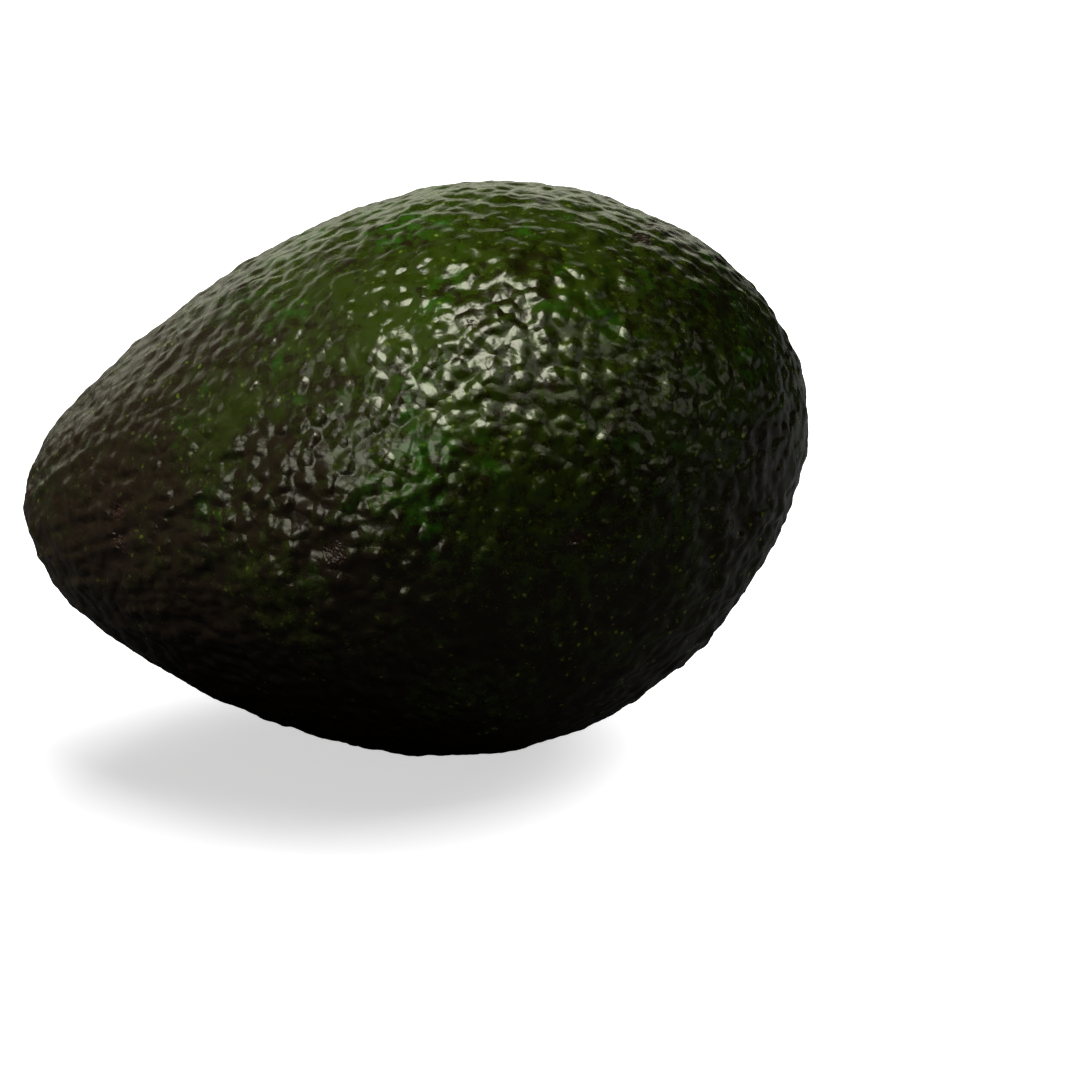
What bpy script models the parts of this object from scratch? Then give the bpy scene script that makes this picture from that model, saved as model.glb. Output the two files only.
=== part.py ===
"""A whole avocado, as picked, lying on its side.

The long axis runs along X, with the narrow stem end toward -X. The fruit rests on a small
flat spot under its belly, at the world origin, and the broad end is tipped up a little.
"""

from math import comb, cos, pi, radians, sin, tan

import bmesh
import bpy
from mathutils import Matrix, Vector

# Fruit, metres. The body is a sphere drawn out to LENGTH along X. Its half-width and the
# height of its centre line are Bezier curves from the stem end to the broad end.
LENGTH = 0.100
HALF_WIDTHS = (0.0230, 0.0330, 0.0415, 0.0335)
CENTRE_HEIGHTS = (-0.0030, -0.0070, 0.0)
GRID_CUTS = 15

# How it lies: the broad end is tipped up, and the belly is flattened where it touches.
REST_TILT = radians(8)
REST_CUT = 0.0007

# Stem attachment, set obliquely: below the long axis and turned toward +Y.
STEM_DROP = radians(10)
STEM_TURN = radians(10)
DIMPLE_RADIUS = 0.0140
DIMPLE_DEPTH = 0.0022
SOCKET_RADIUS = 0.0046
SOCKET_DEPTH = 0.0010

# Dried stem button: a low woody cap with a rounded rim and a dished top.
GAP = 0.0003
BUTTON_RADIUS = SOCKET_RADIUS - GAP
BUTTON_HEIGHT = 0.0026
BUTTON_EDGE = 0.0007
BUTTON_DISH_RADIUS = 0.0024
BUTTON_DISH_DEPTH = 0.0005
BUTTON_STEPS = 28


def bezier(controls, s):
    """Bezier curve of the control values at s, from 0 to 1."""
    n = len(controls) - 1
    return sum(comb(n, i) * s**i * (1 - s) ** (n - i) * c for i, c in enumerate(controls))


def body_point(direction):
    """Point on the plain body, before the dimple, for a unit direction from its middle."""
    s = (1 + direction.x) / 2
    width = bezier(HALF_WIDTHS, s)
    height = bezier(CENTRE_HEIGHTS, s)
    return Vector((LENGTH / 2 * direction.x, width * direction.y, width * direction.z + height))


def stem_direction():
    """Direction of the stem attachment from the middle of the body."""
    drop = Matrix.Rotation(-STEM_DROP, 3, "Y")
    turn = Matrix.Rotation(-STEM_TURN, 3, "Z")
    return turn @ drop @ Vector((-1, 0, 0))


def stem_site():
    """Point on the body under the stem, and the outward direction there."""
    direction = stem_direction()
    side = direction.orthogonal().normalized()
    other = direction.cross(side)
    step = 0.01
    along_side = body_point((direction + side * step).normalized()) - body_point(direction)
    along_other = body_point((direction + other * step).normalized()) - body_point(direction)
    return body_point(direction), along_side.cross(along_other).normalized()


def dimpled(point, site, outward):
    """Presses the skin in around the stem."""
    reach = (point - site).length / DIMPLE_RADIUS
    if reach >= 1:
        return point
    return point - outward * DIMPLE_DEPTH * (1 - reach**2) ** 2


def lying_placement():
    """Tilts the body about Y and sets the lowest point of its belly just under the origin."""
    tilt = Matrix.Rotation(-REST_TILT, 4, "Y")
    angles = [radians(a / 10) for a in range(1800, 3600)]
    belly = [tilt @ body_point(Vector((cos(a), 0, sin(a)))) for a in angles]
    lowest = min(belly, key=lambda point: point.z)
    return Matrix.Translation(Vector((0, 0, -REST_CUT)) - lowest) @ tilt


def material(name, colour, roughness):
    """Plain Principled BSDF material."""
    made = bpy.data.materials.new(name)
    made.use_nodes = True
    shader = made.node_tree.nodes["Principled BSDF"]
    shader.inputs["Base Color"].default_value = (*colour, 1)
    shader.inputs["Roughness"].default_value = roughness
    shader.inputs["Metallic"].default_value = 0
    made.diffuse_color = (*colour, 1)
    return made


def collection(name):
    made = bpy.data.collections.new(name)
    bpy.context.scene.collection.children.link(made)
    return made


def add_object(name, mesh, home, parent):
    made = bpy.data.objects.new(name, mesh)
    home.objects.link(made)
    made.parent = parent
    return made


def fruit_mesh(placement, site, outward):
    """Cube grid blown up to a sphere, drawn to the body's form and cut flat where it rests."""
    mesh = bpy.data.meshes.new("fruit")
    bm = bmesh.new()
    bmesh.ops.create_cube(bm, size=2)
    bmesh.ops.subdivide_edges(bm, edges=bm.edges[:], cuts=GRID_CUTS, use_grid_fill=True)
    for vertex in bm.verts:
        evened = Vector([tan(c * pi / 4) for c in vertex.co])
        vertex.co = dimpled(body_point(evened.normalized()), site, outward)

    to_body = placement.inverted()
    cut = bmesh.ops.bisect_plane(
        bm,
        geom=bm.verts[:] + bm.edges[:] + bm.faces[:],
        plane_co=to_body @ Vector((0, 0, 0)),
        plane_no=to_body.to_3x3() @ Vector((0, 0, -1)),
        clear_outer=True,
    )
    rim = [item for item in cut["geom_cut"] if isinstance(item, bmesh.types.BMEdge)]
    rest_spot = bmesh.ops.edgeloop_fill(bm, edges=rim)["faces"]
    bmesh.ops.recalc_face_normals(bm, faces=bm.faces[:])
    for face in bm.faces:
        face.smooth = face not in rest_spot
    bm.to_mesh(mesh)
    bm.free()
    return mesh


def socket_cutter_mesh():
    """Upright cylinder whose lower end is the socket's floor."""
    mesh = bpy.data.meshes.new("socket_cutter")
    bm = bmesh.new()
    height = 4 * SOCKET_DEPTH
    bmesh.ops.create_cone(
        bm,
        cap_ends=True,
        segments=BUTTON_STEPS,
        radius1=SOCKET_RADIUS,
        radius2=SOCKET_RADIUS,
        depth=height,
        matrix=Matrix.Translation((0, 0, height / 2)),
    )
    bm.to_mesh(mesh)
    bm.free()
    return mesh


def button_mesh():
    """Half section of the button, from the middle of its dished top down its side to its base."""
    section = [(0, BUTTON_HEIGHT - BUTTON_DISH_DEPTH)]
    section.append((BUTTON_DISH_RADIUS, BUTTON_HEIGHT - BUTTON_DISH_DEPTH / 2))
    rim_centre = (BUTTON_RADIUS - BUTTON_EDGE, BUTTON_HEIGHT - BUTTON_EDGE)
    for angle in (radians(a) for a in (110, 70, 35, 0)):
        section.append((rim_centre[0] + BUTTON_EDGE * cos(angle), rim_centre[1] + BUTTON_EDGE * sin(angle)))
    section.append((BUTTON_RADIUS, BUTTON_EDGE / 2))
    section.append((BUTTON_RADIUS - BUTTON_EDGE / 2, 0))
    section.append((0, 0))
    mesh = bpy.data.meshes.new("stem_button")
    points = [(radius, 0, height) for radius, height in section]
    mesh.from_pydata(points, [(i, i + 1) for i in range(len(points) - 1)], [])
    return mesh


def add_fruit(home, cutters, frame_empty, site, outward):
    placement = lying_placement()
    frame_empty.matrix_world = placement
    fruit = add_object("fruit", fruit_mesh(placement, site, outward), home, frame_empty)
    fruit.data.materials.append(material("skin", (0.018, 0.028, 0.009), 0.42))

    floor = site - outward * (DIMPLE_DEPTH + SOCKET_DEPTH)
    cutter = add_object("socket_cutter", socket_cutter_mesh(), cutters, frame_empty)
    cutter.location = floor
    cutter.rotation_euler = outward.to_track_quat("Z", "Y").to_euler()
    cutter.hide_render = True
    cutter.display_type = "WIRE"
    socket = fruit.modifiers.new("stem_socket", "BOOLEAN")
    socket.operation = "DIFFERENCE"
    socket.solver = "EXACT"
    socket.object = cutter


def add_stem_button(home, frame_empty, site, outward):
    button = add_object("stem_button", button_mesh(), home, frame_empty)
    button.location = site - outward * (DIMPLE_DEPTH + SOCKET_DEPTH - GAP)
    button.rotation_euler = outward.to_track_quat("Z", "Y").to_euler()
    button.data.materials.append(material("dried_stem", (0.16, 0.10, 0.05), 0.8))
    turned = button.modifiers.new("turned", "SCREW")
    turned.steps = BUTTON_STEPS
    turned.render_steps = BUTTON_STEPS
    turned.use_merge_vertices = True
    turned.merge_threshold = 0.00001
    turned.use_smooth_shade = True


def main():
    for old in list(bpy.data.objects):
        bpy.data.objects.remove(old, do_unlink=True)
    home = collection("avocado")
    cutters = collection("cutters")
    cutters.hide_render = True
    frame_empty = add_object("avocado_frame", None, home, None)
    site, outward = stem_site()
    add_fruit(home, cutters, frame_empty, site, outward)
    add_stem_button(home, frame_empty, site, outward)


main()
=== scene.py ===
"""A whole avocado lying on its side on a plain white studio floor.

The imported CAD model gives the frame. The fruit's skin and its stem button are made here, with
their relief and their procedural materials, and each one rides on the CAD body.
"""

from math import comb, cos, pi, radians, sin

import bmesh
import bpy
import numpy as np
from bpy.props import FloatProperty, FloatVectorProperty, IntProperty, PointerProperty
from mathutils import Matrix, Vector, noise


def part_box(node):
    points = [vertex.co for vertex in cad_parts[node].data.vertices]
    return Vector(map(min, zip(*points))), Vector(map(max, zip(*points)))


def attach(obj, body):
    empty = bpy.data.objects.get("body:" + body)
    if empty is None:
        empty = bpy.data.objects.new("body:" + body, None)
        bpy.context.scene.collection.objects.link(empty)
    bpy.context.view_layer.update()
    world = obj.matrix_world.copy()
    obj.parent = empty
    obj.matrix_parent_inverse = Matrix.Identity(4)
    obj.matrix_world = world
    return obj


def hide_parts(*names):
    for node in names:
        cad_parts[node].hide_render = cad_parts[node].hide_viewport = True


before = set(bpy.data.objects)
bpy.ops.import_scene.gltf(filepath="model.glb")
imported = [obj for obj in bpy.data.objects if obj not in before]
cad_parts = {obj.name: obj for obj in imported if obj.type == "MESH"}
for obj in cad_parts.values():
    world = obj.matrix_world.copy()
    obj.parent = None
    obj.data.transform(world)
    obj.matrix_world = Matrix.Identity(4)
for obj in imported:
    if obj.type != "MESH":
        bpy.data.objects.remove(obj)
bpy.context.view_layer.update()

bl_info = {
    "name": "Avocado",
    "version": (1, 0, 0),
    "blender": (4, 5, 0),
    "location": "3D View > Sidebar > Avocado",
    "description": "Builds a whole avocado with pebbled skin, its stem button and a plain studio",
    "category": "Add Mesh",
}

MM = 0.001
FRUIT_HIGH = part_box("fruit")[1]
BUTTON_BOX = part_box("stem_button")
PIECES = ("fruit_skin", "stem_cap")

# Attributes of the skin mesh: place on the plain body and height of the relief, both in mm, and
# how much of the relief is kept.
GROWN = "grown"
RELIEF = "relief"
SHARE = "share"

# Body in mm from its middle, over which the skin changes along the fruit and up it.
HALF_LENGTH = 50
HALF_HEIGHT = 36
# Share of the pebbling that the mesh carries, and that the bump adds.
MESH_PEBBLES = 0.75
BUMP_PEBBLES = 0.4
# The skin is smooth under the stem button, out to a radius and then fading in, in mm.
CALM_RADIUS = 4.4
CALM_FADE = 5.0
# Seat of the stem button: thickness of its wall, its depth, and how far in it looks for skin.
SEAT_WALL = 0.8 * MM
SEAT_DEPTH = 1.2 * MM
SEAT_REACH = 12 * MM
# Dry scars: how many cells of scar spacing there are in a mm, and a scar's core and edge in cells.
SCAR_CELLS = 0.062
SCAR_CORE = 0.054
SCAR_EDGE = 0.118

# Rings of the stem button, from the pith out and down: shares of its radius and of its height.
BUTTON_PROFILE = (
    (0.05, 0.86), (0.10, 0.84), (0.14, 0.78), (0.18, 0.74), (0.24, 0.73), (0.31, 0.74),
    (0.38, 0.76), (0.45, 0.78), (0.52, 0.81), (0.59, 0.85), (0.66, 0.90), (0.73, 0.95),
    (0.79, 0.99), (0.84, 1.00), (0.89, 0.98), (0.93, 0.93), (0.96, 0.84), (0.97, 0.70),
    (0.96, 0.55), (0.94, 0.42), (0.95, 0.30), (0.97, 0.18), (0.97, 0.08), (0.96, 0.00),
)
BUTTON_TURNS = 120

# Softboxes: place and side in metres.
SIDE_LIGHT = ((-0.68, 0.05, 0.76), 0.5)
FRONT_LIGHT = ((0.55, -0.75, 0.45), 0.5)
FLOOR_LIGHT = ((0.55, 0.55, 1.2), 2.2)
WHITE = (1.0, 1.0, 1.0)
BLACK = (0.0, 0.0, 0.0)
FRONT_TINT = (1.0, 0.85, 0.5)
FLOOR_HALF_SIDE = 3.0
# Painted shade: the grey that the floor throws back at the fruit, far darker than the paper, darkest on its
# near and left side and lighter beyond.
BOUNCE_NEAR = (0.03, 0.03, 0.03)
BOUNCE_FAR = (0.08, 0.08, 0.08)
# Studio as the gloss sees it: tint, and level all round, on the left and behind the fruit.
GLEAM_TINT = (1.0, 1.0, 0.80)
GLEAM_ALL_ROUND = 0.01
GLEAM_LEFT = 0.05
GLEAM_BEHIND = 1.0
# Level of the studio for light that is neither gloss nor seen by the camera.
AMBIENT = 0.06
# Lamps that only the gloss sees: direction, half-angle in degrees, and strength.
GLEAMS = (
    ((-0.05, -0.36, 0.93), 16, 16.0),
    ((-0.56, -0.77, 0.31), 12, 5.0),
    ((-0.45, -0.60, 0.66), 8, 3.5),
    ((-0.72, 0.60, 0.36), 18, 0.5),
    ((0.40, -0.52, 0.75), 15, 1.2),
    ((0.85, -0.20, 0.45), 14, 0.8),
)
# Share of a lamp's half-angle that has its full strength.
GLEAM_CORE = 0.6


# ---------------------------------------------------------------- settings


class FruitSettings(bpy.types.PropertyGroup):
    """Form of the fruit"""

    length: FloatProperty(
        name="Length", description="Length of the fruit along its axis", default=0.100, unit="LENGTH"
    )
    half_widths: FloatVectorProperty(
        name="Half-widths",
        description="Bezier controls of the half-width, from the stem end to the broad end",
        size=4,
        default=(0.0230, 0.0330, 0.0415, 0.0335),
        unit="LENGTH",
    )
    centre_heights: FloatVectorProperty(
        name="Centre heights",
        description="Bezier controls of the centre line's height, from the stem end to the broad end",
        size=3,
        default=(-0.0030, -0.0070, 0.0),
        unit="LENGTH",
    )
    rest_tilt: FloatProperty(
        name="Rest tilt",
        description="How far the broad end is tipped up",
        default=radians(8),
        subtype="ANGLE",
    )
    stem_drop: FloatProperty(
        name="Stem drop",
        description="How far below the axis the stem sits",
        default=radians(10),
        subtype="ANGLE",
    )
    stem_turn: FloatProperty(
        name="Stem turn",
        description="How far to the side the stem sits",
        default=radians(10),
        subtype="ANGLE",
    )
    dimple_radius: FloatProperty(
        name="Dimple radius",
        description="Reach of the hollow round the stem",
        default=0.0140,
        unit="LENGTH",
    )
    dimple_depth: FloatProperty(
        name="Dimple depth",
        description="Depth of the hollow round the stem",
        default=0.0022,
        unit="LENGTH",
    )
    socket_radius: FloatProperty(
        name="Socket radius",
        description="Radius of the seat of the stem button",
        default=0.0046,
        unit="LENGTH",
    )
    grid: IntProperty(
        name="Grid",
        description="Quads along each side of the six skin patches",
        default=128,
        min=16,
        max=256,
    )


class SkinSettings(bpy.types.PropertyGroup):
    """Colours of the skin"""

    dark: FloatVectorProperty(
        name="Dark green", description="Darker parts", subtype="COLOR", default=(0.011, 0.009, 0.001)
    )
    green: FloatVectorProperty(
        name="Green", description="Main green", subtype="COLOR", default=(0.026, 0.045, 0.002)
    )
    vivid: FloatVectorProperty(
        name="Vivid green", description="Greenest patches", subtype="COLOR", default=(0.020, 0.115, 0.004)
    )
    brown: FloatVectorProperty(
        name="Brown", description="Brown of the stem end", subtype="COLOR", default=(0.017, 0.010, 0.006)
    )
    scar: FloatVectorProperty(
        name="Scars", description="Dry brown scars", subtype="COLOR", default=(0.024, 0.012, 0.008)
    )
    speck: FloatVectorProperty(
        name="Specks", description="Pale corky flecks", subtype="COLOR", default=(0.24, 0.33, 0.04)
    )


class ButtonSettings(bpy.types.PropertyGroup):
    """Size and colours of the dried stem button"""

    radius: FloatProperty(
        name="Radius", description="Radius of the button", default=0.0043, unit="LENGTH"
    )
    height: FloatProperty(
        name="Height", description="Height of the button", default=0.0026, unit="LENGTH"
    )
    dark: FloatVectorProperty(
        name="Dark bark", description="Pores and cracks", subtype="COLOR", default=(0.035, 0.020, 0.012)
    )
    pale: FloatVectorProperty(
        name="Pale bark", description="Dry outer cork", subtype="COLOR", default=(0.17, 0.11, 0.06)
    )


class StageSettings(bpy.types.PropertyGroup):
    """Camera, lights and floor"""

    azimuth: FloatProperty(name="Azimuth", description="Camera azimuth", default=0.0, subtype="ANGLE")
    elevation: FloatProperty(
        name="Elevation", description="Camera elevation", default=radians(20), subtype="ANGLE"
    )
    lens: FloatProperty(name="Lens", description="Focal length", default=85, unit="CAMERA")
    distance: FloatProperty(
        name="Distance", description="Camera to fruit", default=0.321, unit="LENGTH"
    )
    offset: FloatVectorProperty(
        name="Offset",
        description="How far the view's middle lies to the right of the fruit's middle, and above it",
        size=2,
        default=(0.0164, -0.0116),
        unit="LENGTH",
    )
    side_power: FloatProperty(
        name="Side light", description="Power of the softbox on the left", default=13.0, unit="POWER"
    )
    front_power: FloatProperty(
        name="Front light", description="Power of the warm fill in front", default=0.9, unit="POWER"
    )
    floor_power: FloatProperty(
        name="Floor light", description="Power of the softbox for the floor", default=60.0, unit="POWER"
    )
    floor_colour: FloatVectorProperty(
        name="Floor", description="Floor colour", subtype="COLOR", default=(0.9, 0.9, 0.9)
    )


# ---------------------------------------------------------------- node maths


class Wire:
    """A socket that takes part in Python expressions, each of which adds a Math node."""

    def __init__(self, tree, socket):
        self.tree = tree
        self.socket = socket

    def __add__(self, other):
        return self.tree.math("ADD", self, other)

    def __sub__(self, other):
        return self.tree.math("SUBTRACT", self, other)

    def __mul__(self, other):
        return self.tree.math("MULTIPLY", self, other)

    def __radd__(self, other):
        return self.tree.math("ADD", other, self)

    def __rsub__(self, other):
        return self.tree.math("SUBTRACT", other, self)

    def __rmul__(self, other):
        return self.tree.math("MULTIPLY", other, self)


class Tree:
    """Node tree of a material, a world or a geometry group, filled by calls."""

    def __init__(self, tree):
        self.tree = tree

    def node(self, kind, settings=None, **sockets):
        """Adds a node: its settings first, then a value or a Wire for each socket named or numbered."""
        made = self.tree.nodes.new(kind)
        for name, value in (settings or {}).items():
            setattr(made, name, value)
        self.feed(made, **sockets)
        return made

    def feed(self, node, **sockets):
        """Gives each socket its value or its Wire."""
        for name, value in sockets.items():
            socket = self.find(node.inputs, name)
            if isinstance(value, Wire):
                self.tree.links.new(value.socket, socket)
            else:
                socket.default_value = value

    @staticmethod
    def find(sockets, name):
        """Socket by name, or by place where the name is i0, i1 and so on."""
        if name[0] == "i" and name[1:].isdigit():
            return sockets[int(name[1:])]
        wanted = name.replace("_", " ").lower()
        return next(s for s in sockets if s.name.lower() == wanted and s.enabled)

    def out(self, node, name="i0"):
        return Wire(self, self.find(node.outputs, name))

    def math(self, operation, a, b):
        return self.out(self.node("ShaderNodeMath", {"operation": operation}, i0=a, i1=b))

    def step(self, value, low, high, kind="SMOOTHSTEP"):
        """0 at low and 1 at high, eased in between."""
        limits = {"from_min": low, "from_max": high, "to_min": 0.0, "to_max": 1.0}
        return self.out(self.node("ShaderNodeMapRange", {"interpolation_type": kind}, value=value, **limits))

    def vector(self, operation, a, b=None, scale=None):
        """Vector Math node: gives a number where the operation does, and a vector otherwise."""
        sockets = {"i0": a}
        if b is not None:
            sockets["i1"] = b
        if scale is not None:
            sockets["scale"] = scale
        made = self.node("ShaderNodeVectorMath", {"operation": operation}, **sockets)
        return self.out(made, "value" if operation in {"DOT_PRODUCT", "LENGTH"} else "vector")

    def xyz(self, vector):
        made = self.node("ShaderNodeSeparateXYZ", i0=vector)
        return [self.out(made, axis) for axis in "xyz"]

    def noise(self, place, scale, detail=2.0, roughness=0.5):
        """Noise round 0, mostly from -0.5 to 0.5."""
        sockets = {"vector": place, "scale": scale, "detail": detail, "roughness": roughness}
        return self.out(self.node("ShaderNodeTexNoise", **sockets)) - 0.5

    def warp(self, place, scale, amount):
        """Shifts the coordinates by a noise vector."""
        made = self.node("ShaderNodeTexNoise", vector=place, scale=scale, detail=1.0)
        shift = self.vector("SUBTRACT", self.out(made, "color"), (0.5, 0.5, 0.5))
        return self.vector("ADD", place, self.vector("SCALE", shift, scale=amount))

    def cells(self, place, scale, feature="F1"):
        return self.node("ShaderNodeTexVoronoi", {"feature": feature}, vector=place, scale=scale)

    def mix(self, factor, a, b):
        """Mixes two colours, each a Wire or an RGB triple."""
        a = a if isinstance(a, Wire) else (*a, 1.0)
        b = b if isinstance(b, Wire) else (*b, 1.0)
        return self.out(self.node("ShaderNodeMix", {"data_type": "RGBA"}, i0=factor, i6=a, i7=b), "i2")


def new_material(name):
    """A material, its tree and its shader."""
    made = bpy.data.materials.new(name)
    made.use_nodes = True
    return made, Tree(made.node_tree), made.node_tree.nodes["Principled BSDF"]


# ---------------------------------------------------------------- form of the fruit


def bezier(controls, s):
    """Bezier curve of the control values at s, from 0 to 1."""
    n = len(controls) - 1
    return sum(comb(n, i) * s**i * (1 - s) ** (n - i) * c for i, c in enumerate(controls))


def body_points(fruit, directions):
    """Points on the plain body, one for each row of unit directions from its middle."""
    s = (1 + directions[:, 0]) / 2
    width = bezier(fruit.half_widths, s)
    height = bezier(fruit.centre_heights, s)
    x = fruit.length / 2 * directions[:, 0]
    return np.stack([x, width * directions[:, 1], width * directions[:, 2] + height], axis=1)


def stem_site(fruit):
    """Point on the plain body under the stem, and the outward direction there."""
    drop = Matrix.Rotation(-fruit.stem_drop, 3, "Y")
    turn = Matrix.Rotation(-fruit.stem_turn, 3, "Z")
    middle = turn @ drop @ Vector((-1, 0, 0))
    side = middle.orthogonal().normalized()
    other = middle.cross(side)
    step = 0.01
    near = [middle, (middle + side * step).normalized(), (middle + other * step).normalized()]
    site, along_side, along_other = (Vector(p) for p in body_points(fruit, np.array(near)))
    return site, (along_side - site).cross(along_other - site).normalized()


def lying_placement(fruit):
    """Tilts the body about Y and sets its highest corner where the CAD fruit has it."""
    tilt = Matrix.Rotation(-fruit.rest_tilt, 4, "Y")
    turns = np.linspace(0, 2 * pi, 3600, endpoint=False)
    outline = body_points(fruit, np.stack([np.cos(turns), 0 * turns, np.sin(turns)], axis=1))
    high = (outline @ np.array(tilt.to_3x3()).T).max(axis=0)
    return Matrix.Translation((FRUIT_HIGH[0] - high[0], 0, FRUIT_HIGH[2] - high[2])) @ tilt


def read_points(mesh):
    points = np.empty(len(mesh.vertices) * 3)
    mesh.vertices.foreach_get("co", points)
    return points.reshape(-1, 3)


def write_points(mesh, points):
    mesh.vertices.foreach_set("co", np.ascontiguousarray(points, dtype=np.float32).ravel())
    mesh.update()


def sphere_grid(name, cuts):
    """Cube of even quads blown up to a unit sphere."""
    bm = bmesh.new()
    bmesh.ops.create_cube(bm, size=2)
    bmesh.ops.subdivide_edges(bm, edges=bm.edges[:], cuts=cuts, use_grid_fill=True)
    mesh = bpy.data.meshes.new(name)
    bm.to_mesh(mesh)
    bm.free()
    evened = np.tan(read_points(mesh) * pi / 4)
    write_points(mesh, evened / np.linalg.norm(evened, axis=1, keepdims=True))
    return mesh


# ---------------------------------------------------------------- skin relief


def skin_regions(tree, place):
    """How far along the fruit and up it a place is, each from 0 to 1. Places are in mm from its middle."""
    x, _, z = tree.xyz(place)
    along = tree.step(x, -HALF_LENGTH, HALF_LENGTH, "LINEAR")
    up = tree.step(z, -HALF_HEIGHT, HALF_HEIGHT, "LINEAR")
    return along, up


def fine_relief(tree, place):
    """Pebbling in mm: low domes in a web of smooth valleys with smaller bumps, weaker at the stem end."""
    bent = tree.warp(place, 0.45, 0.8)
    domes = 1 - tree.step(tree.out(tree.cells(bent, 0.54), "distance"), 0.22, 0.74)
    aside = tree.vector("ADD", bent, (31.0, 17.0, 5.0))
    pits = tree.out(tree.cells(aside, 0.95, "SMOOTH_F1"), "distance")
    ground = tree.noise(bent, 0.46, 0.6)
    along, _ = skin_regions(tree, place)
    share = 0.80 + 0.20 * tree.step(along, 0.05, 0.35)
    return (domes * 0.21 - pits * pits * 0.11 + ground * 0.52) * share


def coarse_relief(tree, place, stem, outward):
    """Swells, lumps and ridges of the skin in mm."""
    along, up = skin_regions(tree, place)
    bent = tree.warp(place, 0.28, 1.6)
    swell = tree.noise(place, 0.085, 1.5) * 1.1
    roll = tree.noise(bent, 0.24, 1.0) * 0.50

    # Ridges run outward from the stem, so their noise hardly changes along a spoke.
    from_stem = tree.vector("SUBTRACT", place, tuple(stem))
    depth = tree.vector("DOT_PRODUCT", from_stem, tuple(outward))
    flat = tree.vector("SUBTRACT", from_stem, tree.vector("SCALE", tuple(outward), scale=depth))
    spoke = tree.vector("SCALE", tree.vector("NORMALIZE", flat), scale=7.0)
    line = tree.vector("ADD", spoke, tree.vector("SCALE", from_stem, scale=0.05))
    ridges = tree.noise(tree.warp(line, 0.6, 0.9), 0.9, 2.0) * (1 - tree.step(along, 0.10, 0.60))

    lump = 0.5 - tree.out(tree.cells(bent, 0.23, "SMOOTH_F1"), "distance")
    lump_share = tree.step(along, 0.62, 0.95) * (1 - tree.step(up, 0.25, 0.7)) + 0.25
    return swell + roll + ridges + lump * 1.3 * lump_share


def scars(tree, place):
    """1 on the small dry scars, strewn thinly over the skin, and 0 elsewhere."""
    bent = tree.warp(place, 0.8, 2.0)
    away = tree.out(tree.cells(bent, SCAR_CELLS), "distance")
    return 1 - tree.step(away, SCAR_CORE, SCAR_EDGE)


def relief_group(stem, outward):
    """Geometry group that lifts each point of the plain body along its normal by the relief."""
    group = bpy.data.node_groups.new("skin_relief", "GeometryNodeTree")
    for way in ("INPUT", "OUTPUT"):
        group.interface.new_socket("Geometry", in_out=way, socket_type="NodeSocketGeometry")
    tree = Tree(group)
    shape = tree.out(tree.node("NodeGroupInput"), "geometry")
    place = tree.vector("SCALE", tree.out(tree.node("GeometryNodeInputPosition")), scale=1 / MM)
    height = fine_relief(tree, place) * MESH_PEBBLES + coarse_relief(tree, place, stem, outward)

    for name, kind, value in ((GROWN, "FLOAT_VECTOR", place), (RELIEF, "FLOAT", height)):
        settings = {"data_type": kind, "domain": "POINT"}
        stored = tree.node(
            "GeometryNodeStoreNamedAttribute", settings, geometry=shape, name=name, value=value
        )
        shape = tree.out(stored, "geometry")

    def stored_number(name):
        made = tree.node("GeometryNodeInputNamedAttribute", {"data_type": "FLOAT"}, name=name)
        return tree.out(made, "attribute")

    normal = tree.out(tree.node("GeometryNodeInputNormal"))
    lift = tree.vector("SCALE", normal, scale=stored_number(RELIEF) * stored_number(SHARE) * MM)
    lifted = tree.node("GeometryNodeSetPosition", geometry=shape, offset=lift)
    tree.node("NodeGroupOutput", geometry=tree.out(lifted, "geometry"))
    return group


# ---------------------------------------------------------------- fruit


def skin_colour(tree, skin, place, along, up, mottle, scar):
    """Green in two depths with vivid patches, brown toward the stem end, flecks and scars, with painted
    shade: darker toward the bottom and greener toward the top.
    """
    blotch = tree.noise(tree.warp(place, 0.2, 3.0), 0.07, 3.0, 0.6)
    # Painted shade: the term in up makes the skin darker toward the bottom and greener toward the top, as
    # though lit from above.
    depth = blotch * 0.7 + mottle + 0.35 * (up - 0.65)
    colour = tree.mix(tree.step(depth, -0.15, 0.13), skin.dark, skin.green)

    patches = tree.step(tree.noise(place, 0.11, 3.0, 0.6), 0.02, 0.18)
    # Painted shade: vivid patches only on the upper part, kept out of the shaded underside.
    vivid = patches * tree.step(mottle, -0.10, 0.15) * tree.step(up, 0.35, 0.60)
    colour = tree.mix(vivid * 0.8, colour, skin.vivid)

    brown_share = 1 - tree.step(along + 0.5 * blotch + 0.35 * mottle, 0.20, 0.64)
    colour = tree.mix(brown_share * 0.85, colour, skin.brown)

    dots = tree.cells(tree.warp(place, 1.2, 0.7), 0.95)
    chance, _, _ = tree.xyz(tree.out(dots, "color"))
    flecks = 1 - tree.step(tree.out(dots, "distance"), 0.12, 0.33)
    flecks = flecks * tree.step(chance, 0.40, 0.9) * tree.step(mottle, -0.12, 0.12)
    flecks = flecks * tree.step(blotch + 0.5 * mottle, -0.14, 0.10)
    flecks = flecks * (0.35 + 0.65 * tree.step(along, 0.45, 0.70))
    colour = tree.mix(flecks, colour, skin.speck)
    return tree.mix(scar * tree.step(mottle, -0.25, 0.05), colour, skin.scar)


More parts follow.
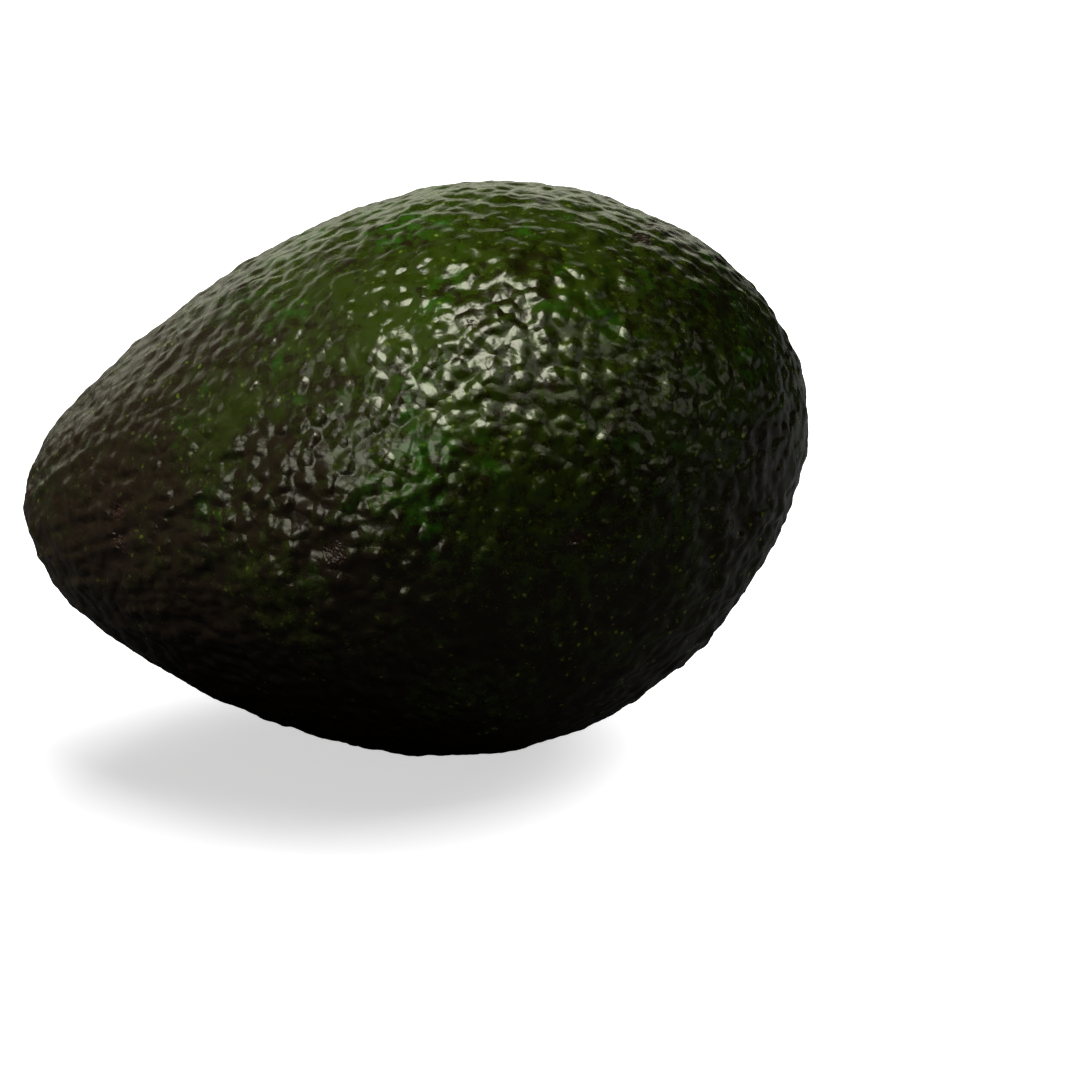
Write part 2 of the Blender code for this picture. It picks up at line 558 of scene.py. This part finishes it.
def skin_material(skin):
    """Waxy skin: dark green, greener in patches, browner and duller at the stem end."""
    made, tree, shader = new_material("avocado_skin")
    place = tree.out(tree.node("ShaderNodeAttribute", {"attribute_name": GROWN}), "vector")
    along, up = skin_regions(tree, place)
    mottle = tree.noise(place, 0.60, 4.0, 0.70)
    scar = scars(tree, place)
    matte = 1 - tree.step(along, 0.08, 0.40)

    grain = tree.noise(place, 1.6, 1.0) * (0.035 + 0.045 * matte)
    crust = scar * tree.noise(place, 1.9, 1.0) * 0.30
    height = fine_relief(tree, place) * BUMP_PEBBLES + grain + crust
    bump = tree.node("ShaderNodeBump", strength=1.0, distance=MM, height=height)
    tree.feed(
        shader,
        base_color=skin_colour(tree, skin, place, along, up, mottle, scar),
        roughness=0.24 + 0.03 * matte,
        specular_ior_level=0.45,
        normal=tree.out(bump),
    )
    return made


def add_piece(name, mesh):
    piece = bpy.data.objects.new(name, mesh)
    bpy.context.scene.collection.objects.link(piece)
    return piece


def declare(piece, node):
    """Rides the piece on the body and lets it stand for its CAD node."""
    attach(piece, "root")
    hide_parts(node)


def frozen(piece):
    """Swaps the piece's mesh for its evaluated one and clears its modifiers."""
    graph = bpy.context.evaluated_depsgraph_get()
    made = bpy.data.meshes.new_from_object(piece.evaluated_get(graph))
    made.name = piece.name
    piece.modifiers.clear()
    piece.data = made
    return made


def press_dimple(fruit, mesh, site, outward):
    """Hollows the body round the stem and marks how much relief each point keeps."""
    points = read_points(mesh)
    distance = np.linalg.norm(points - np.array(site), axis=1)
    reach = np.clip(1 - (distance / fruit.dimple_radius) ** 2, 0, 1)
    write_points(mesh, points - np.array(outward) * (fruit.dimple_depth * reach**2)[:, None])
    kept = np.clip((distance / MM - CALM_RADIUS) / CALM_FADE, 0.0, 1.0)
    mesh.attributes.new(SHARE, "FLOAT", "POINT").data.foreach_set("value", kept.astype(np.float32))


def press_seat(fruit, mesh, site, outward):
    """Sinks the skin under the stem button."""
    points = read_points(mesh)
    aside = points - np.array(site)
    depth = aside @ np.array(outward)
    radius = np.linalg.norm(aside - depth[:, None] * np.array(outward), axis=1)
    wall = np.clip((fruit.socket_radius - radius) / SEAT_WALL + 0.5, 0, 1)
    near = depth > -SEAT_REACH
    write_points(mesh, points - np.array(outward) * (near * wall * SEAT_DEPTH)[:, None])


def lay_down(mesh, placement):
    """Sets the mesh in its lying place and flattens what would be under the floor."""
    points = read_points(mesh) @ np.array(placement.to_3x3()).T + np.array(placement.translation)
    points[:, 2] = np.maximum(points[:, 2], 0)
    write_points(mesh, points)


class AVOCADO_OT_fruit(bpy.types.Operator):
    """Build the fruit with its pebbled skin"""

    bl_idname = "avocado.fruit"
    bl_label = "Fruit"

    def execute(self, context):
        fruit = context.scene.avocado_fruit
        site, outward = stem_site(fruit)
        mesh = sphere_grid("fruit_skin", fruit.grid - 1)
        write_points(mesh, body_points(fruit, read_points(mesh)))
        press_dimple(fruit, mesh, site, outward)

        piece = add_piece("fruit_skin", mesh)
        lift = piece.modifiers.new("relief", "NODES")
        lift.node_group = relief_group(site / MM, outward)
        mesh = frozen(piece)

        press_seat(fruit, mesh, site, outward)
        lay_down(mesh, lying_placement(fruit))
        mesh.shade_smooth()
        mesh.materials.append(skin_material(context.scene.avocado_skin))
        declare(piece, "fruit")
        return {"FINISHED"}


# ---------------------------------------------------------------- stem button


def button_mesh(button):
    """Dried stem button on the XY plane: a pith dot in a shallow dish with a worn, lumpy rim."""
    bm = bmesh.new()
    rings = []
    for share, rise in BUTTON_PROFILE:
        ring = []
        for j in range(BUTTON_TURNS):
            angle = 2 * pi * j / BUTTON_TURNS
            spoke = Vector((cos(angle), sin(angle), 0))
            ragged = noise.fractal(spoke * 2.2 + Vector((0, 0, rise)), 1.0, 2.0, 4)
            grain = noise.fractal(spoke * share * 7 + Vector((0, 0, 3)), 1.0, 2.0, 4)
            point = spoke * button.radius * share * (1 + 0.035 * ragged)
            point.z = button.height * rise * (1 + 0.06 * grain * (rise > 0.5))
            ring.append(bm.verts.new(point))
        rings.append(ring)
    for inner, outer in zip(rings, rings[1:]):
        for j in range(BUTTON_TURNS):
            bm.faces.new((inner[j], outer[j], outer[j - 1], inner[j - 1]))
    bm.faces.new(rings[0])
    bm.faces.new(rings[-1])
    bmesh.ops.recalc_face_normals(bm, faces=bm.faces[:])
    mesh = bpy.data.meshes.new("stem_cap")
    bm.to_mesh(mesh)
    bm.free()
    mesh.shade_smooth()
    return mesh


def button_material(button):
    """Dry corky wood: mottled grey brown with darker pores."""
    made, tree, shader = new_material("dried_stem")
    place = tree.vector("SCALE", tree.out(tree.node("ShaderNodeTexCoord"), "object"), scale=1 / MM)
    bark = tree.noise(place, 0.9, 5.0, 0.65)
    pores = tree.step(tree.noise(place, 3.5, 2.0), -0.16, 0.02)
    colour = tree.mix(tree.step(bark, -0.2, 0.2), button.dark, button.pale)
    height = bark * 0.5 + pores * 0.06
    bump = tree.node("ShaderNodeBump", strength=1.0, distance=MM, height=height)
    tree.feed(
        shader,
        base_color=tree.mix(pores, button.dark, colour),
        roughness=0.85,
        specular_ior_level=0.2,
        normal=tree.out(bump),
    )
    return made


class AVOCADO_OT_stem_button(bpy.types.Operator):
    """Build the dried stem button in its seat"""

    bl_idname = "avocado.stem_button"
    bl_label = "Stem Button"

    def execute(self, context):
        fruit = context.scene.avocado_fruit
        button = context.scene.avocado_button
        outward = lying_placement(fruit).to_3x3() @ stem_site(fruit)[1]
        turn = outward.to_track_quat("Z", "Y").to_matrix().to_4x4()
        low, high = (Vector(corner) for corner in BUTTON_BOX)
        mesh = button_mesh(button)
        mesh.transform(Matrix.Translation((low + high) / 2 - outward * button.height / 2) @ turn)
        mesh.materials.append(button_material(button))
        declare(add_piece("stem_cap", mesh), "stem_button")
        return {"FINISHED"}


# ---------------------------------------------------------------- stage


def facing(direction):
    """Rotation of a camera or a light that points along the direction."""
    return direction.to_track_quat("-Z", "Y").to_euler()


def add_camera(stage, middle):
    a, e = stage.azimuth, stage.elevation
    back = Vector((sin(a) * cos(e), -cos(a) * cos(e), sin(e)))
    right = Vector((cos(a), sin(a), 0))
    target = middle + right * stage.offset[0] + back.cross(right) * stage.offset[1]
    data = bpy.data.cameras.new("camera")
    data.lens = stage.lens
    camera = bpy.data.objects.new("camera", data)
    camera.location = target + back * stage.distance
    camera.rotation_euler = facing(-back)
    bpy.context.scene.collection.objects.link(camera)
    bpy.context.scene.camera = camera


def add_softbox(name, stand, target, power, receivers, colour=WHITE):
    """Square area light that faces the target and lights only the receivers."""
    place, side = stand
    data = bpy.data.lights.new(name, "AREA")
    data.shape = "RECTANGLE"
    data.size = data.size_y = side
    data.energy = power
    data.color = colour
    light = bpy.data.objects.new(name, data)
    light.location = place
    light.rotation_euler = facing(Vector(target) - Vector(place))
    light.light_linking.receiver_collection = receivers
    bpy.context.scene.collection.objects.link(light)
    return light


def lit_group(name, members):
    """Collection of the objects that a softbox lights."""
    made = bpy.data.collections.new(name)
    for member in members:
        made.objects.link(member)
    return made


def paper_material(stage):
    """White paper: the camera sees it bright, and it throws little light back at the fruit."""
    made, tree, shader = new_material("white_paper")
    camera = tree.out(tree.node("ShaderNodeLightPath"), "is_camera_ray")
    position = tree.out(tree.node("ShaderNodeNewGeometry"), "position")
    x, y, _ = tree.xyz(position)
    # Painted shade: for all but camera rays the paper shows this dark grey, darkest on its near and left
    # side.
    painted_bounce = tree.mix(tree.step(y + 0.5 * x, 0.02, 0.12), BOUNCE_NEAR, BOUNCE_FAR)
    far = tree.step(tree.vector("LENGTH", position), 0.25, 0.70)
    tree.feed(
        shader,
        base_color=tree.mix(camera, painted_bounce, stage.floor_colour),
        roughness=0.9,
        specular_ior_level=0.0,
        emission_color=tree.mix(camera * (0.6 + 0.4 * far), BLACK, WHITE),
        emission_strength=1.0,
    )
    return made


def add_floor(stage):
    bm = bmesh.new()
    bmesh.ops.create_grid(bm, x_segments=1, y_segments=1, size=FLOOR_HALF_SIDE)
    mesh = bpy.data.meshes.new("floor")
    bm.to_mesh(mesh)
    bm.free()
    mesh.materials.append(paper_material(stage))
    floor = add_piece("floor", mesh)
    return floor


def studio_world():
    """White for the camera, lamps and soft glows for the gloss, and a low even light for the rest."""
    world = bpy.data.worlds.new("studio")
    world.use_nodes = True
    world.cycles.sampling_method = "NONE"
    tree = Tree(world.node_tree)
    path = tree.node("ShaderNodeLightPath")
    glossy = tree.out(path, "is_glossy_ray")
    camera = tree.out(path, "is_camera_ray")
    way = tree.out(tree.node("ShaderNodeTexCoord"), "generated")
    x, y, z = tree.xyz(way)

    left = tree.step(-1 * x, 0.15, 0.50) * tree.step(z, -0.25, 0.05)
    behind = tree.step(y, 0.60, 0.95) * (1 - tree.step(z, 0.35, 0.70)) * tree.step(-1 * x, -0.50, -0.20)
    behind = behind * tree.step(z, -0.05, 0.15)
    seen = GLEAM_ALL_ROUND + GLEAM_LEFT * left + GLEAM_BEHIND * behind
    for direction, reach, strength in GLEAMS:
        near = tree.vector("DOT_PRODUCT", way, tuple(Vector(direction).normalized()))
        seen = seen + strength * tree.step(near, cos(radians(reach)), cos(radians(reach * GLEAM_CORE)))
    tree.feed(
        world.node_tree.nodes["Background"],
        color=tree.mix(glossy, WHITE, GLEAM_TINT),
        strength=glossy * seen + camera + (1 - glossy - camera) * AMBIENT,
    )
    return world


class AVOCADO_OT_stage(bpy.types.Operator):
    """Set the floor, the lights and the camera"""

    bl_idname = "avocado.stage"
    bl_label = "Stage"

    def execute(self, context):
        stage = context.scene.avocado_stage
        middle = lying_placement(context.scene.avocado_fruit).translation
        add_camera(stage, middle)
        fruit = lit_group("lit_fruit", [bpy.data.objects[name] for name in PIECES])
        ground = lit_group("lit_floor", [add_floor(stage)])
        side_light = add_softbox("side_light", SIDE_LIGHT, middle, stage.side_power, fruit)
        front_light = add_softbox(
            "front_light", FRONT_LIGHT, middle, stage.front_power, fruit, FRONT_TINT
        )
        # The gloss sees the lamps of the world instead of these two.
        side_light.visible_glossy = front_light.visible_glossy = False
        add_softbox("floor_light", FLOOR_LIGHT, middle, stage.floor_power, ground)
        context.scene.world = studio_world()
        context.scene.view_settings.view_transform = "Standard"
        return {"FINISHED"}


# ---------------------------------------------------------------- add-on


class AVOCADO_PT_panel(bpy.types.Panel):
    """Lists the pieces and their settings"""

    bl_idname = "AVOCADO_PT_panel"
    bl_label = "Avocado"
    bl_space_type = "VIEW_3D"
    bl_region_type = "UI"
    bl_category = "Avocado"

    def draw(self, context):
        for group in GROUPS:
            settings = getattr(context.scene, group)
            box = self.layout.box()
            for name in settings.bl_rna.properties.keys():
                if name not in {"name", "rna_type"}:
                    box.prop(settings, name)
        for operator in OPERATORS:
            self.layout.operator(operator.bl_idname)


GROUPS = {
    "avocado_fruit": FruitSettings,
    "avocado_skin": SkinSettings,
    "avocado_button": ButtonSettings,
    "avocado_stage": StageSettings,
}
OPERATORS = (AVOCADO_OT_fruit, AVOCADO_OT_stem_button, AVOCADO_OT_stage)
CLASSES = (*GROUPS.values(), *OPERATORS, AVOCADO_PT_panel)


def register():
    for made in CLASSES:
        bpy.utils.register_class(made)
    for name, group in GROUPS.items():
        setattr(bpy.types.Scene, name, PointerProperty(type=group))


def unregister():
    for name in GROUPS:
        delattr(bpy.types.Scene, name)
    for made in reversed(CLASSES):
        bpy.utils.unregister_class(made)


def main():
    register()
    bpy.ops.avocado.fruit()
    bpy.ops.avocado.stem_button()
    bpy.ops.avocado.stage()


if __name__ == "__main__":
    main()
